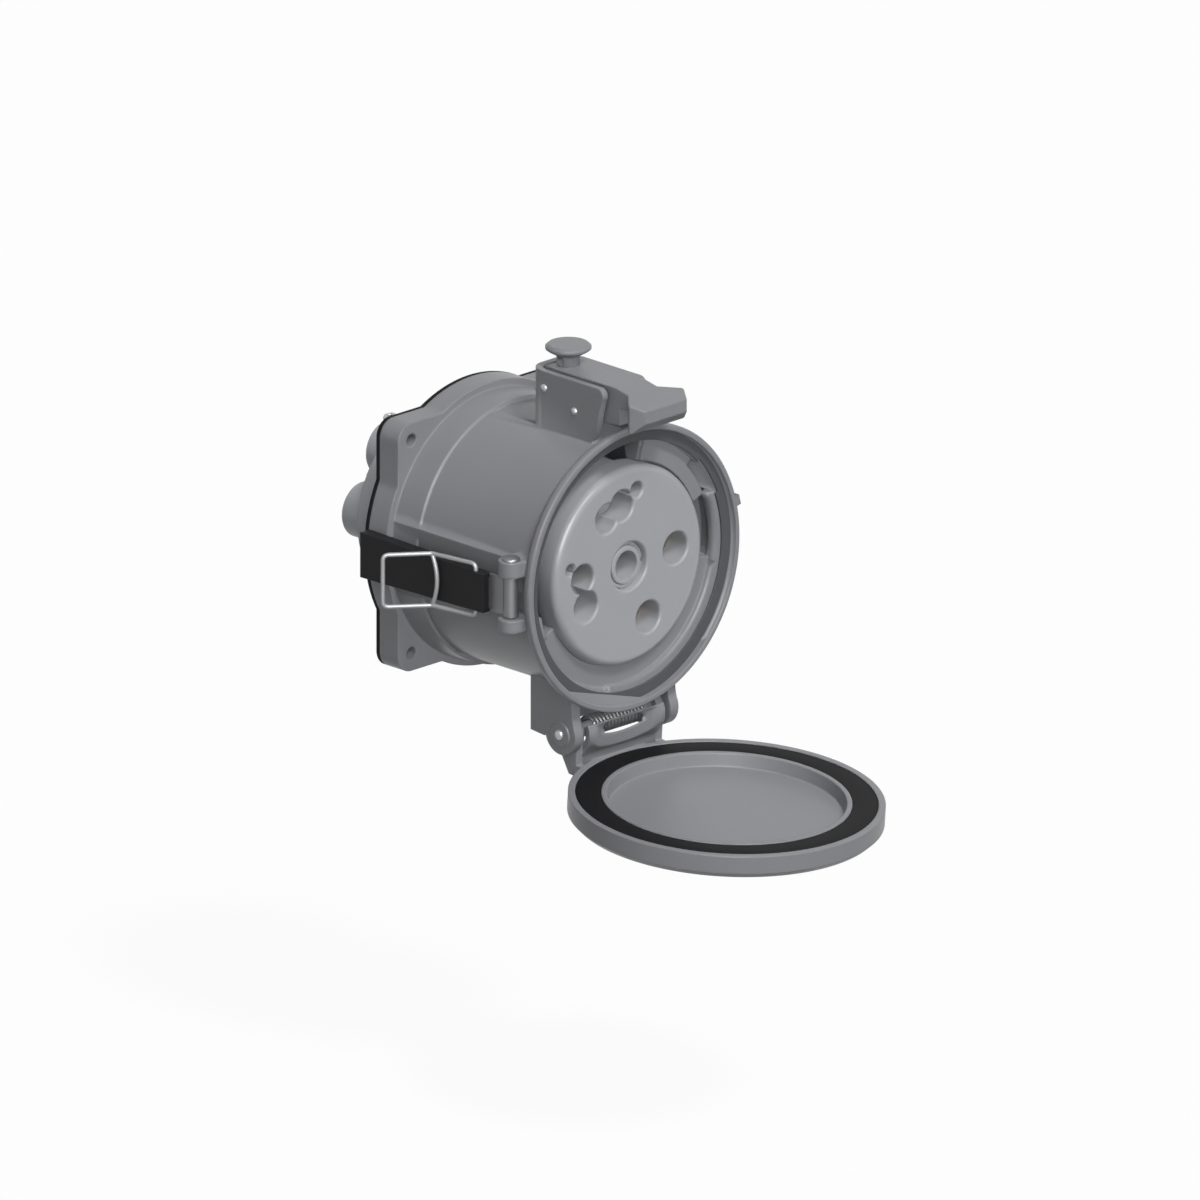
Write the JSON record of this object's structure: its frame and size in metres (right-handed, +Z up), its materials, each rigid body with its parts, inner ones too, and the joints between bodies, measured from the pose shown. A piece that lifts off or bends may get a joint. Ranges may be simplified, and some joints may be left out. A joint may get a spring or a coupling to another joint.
{
  "type": "industrial panel socket",
  "caption": "Round flanged panel power socket with a hinged sealing lid, turning safety disc, push-button pawl latch and side lever with a wire bail.",
  "frame": {"origin": "centre of the mounting face, which is the rear of the flange gasket", "axes": "+X to the right seen from the front, +Y behind the panel, +Z up; the socket faces -Y"},
  "size_m": [0.1785, 0.2989, 0.2255],
  "materials": {
    "cast_metal": "satin grey enamel on cast aluminium",
    "black_rubber": "matte",
    "grey_seal": "matte",
    "disc_plastic": "satin moulded",
    "block_plastic": "satin moulded",
    "brass": "turned",
    "steel": "zinc plated",
    "black_sleeve": "matte moulded"
  },
  "bodies": {
    "socket": {"body_casting": "cast_metal", "flange_gasket": "black_rubber", "rim_seal": "grey_seal", "disc_retainer": "disc_plastic", "contact_carrier": "block_plastic", "carrier_ring": "steel", "carrier_screws": "steel", "phase_contacts": "brass", "neutral_contact": "brass", "earth_contact": "brass", "pilot_contacts": "brass", "contact_clips": "steel", "terminal_screws": "steel", "latch_pin": "steel", "stop_pin": "steel", "latch_spring": "steel", "lid_pin": "steel", "lid_spring": "steel", "lever_pin": "steel"},
    "disc": {"safety_disc": "disc_plastic"},
    "pawl": {"latch_pawl": "cast_metal", "push_button": "steel"},
    "lid": {"lid": "cast_metal", "lid_gasket": "black_rubber"},
    "lever": {"lever_strip": "steel", "lever_sleeve": "black_sleeve"},
    "bail": {"wire_bail": "steel"}
  },
  "joints": [
    {"name": "disc_turn", "type": "hinge", "parent": "socket", "child": "disc", "pos_m": [0, -0.1045, 0], "axis": [0, 1, 0], "range_deg": [0, 30]},
    {"name": "pawl_press", "type": "hinge", "parent": "socket", "child": "pawl", "pos_m": [0, -0.0885, 0.0781], "axis": [-1, 0, 0], "range_deg": [0, 8], "stiffness_Nm_per_rad": 0.4, "springref_deg": -11.46, "deforming": ["latch_spring"]},
    {"name": "lid_swing", "type": "hinge", "parent": "socket", "child": "lid", "pos_m": [0, -0.0993, -0.0813], "axis": [-1, 0, 0], "range_deg": [0, 94.2], "stiffness_Nm_per_rad": 0.03, "springref_deg": -20.05, "deforming": ["lid_spring"]},
    {"name": "lever_swing", "type": "hinge", "parent": "socket", "child": "lever", "pos_m": [-0.073, -0.1028, 0], "axis": [0, 0, 1], "range_deg": [0, 120]},
    {"name": "bail_swing", "type": "hinge", "parent": "lever", "child": "bail", "pos_m": [-0.0766, -0.082, 0], "axis": [0, 0, 1], "range_deg": [0, 60]}
  ]
}
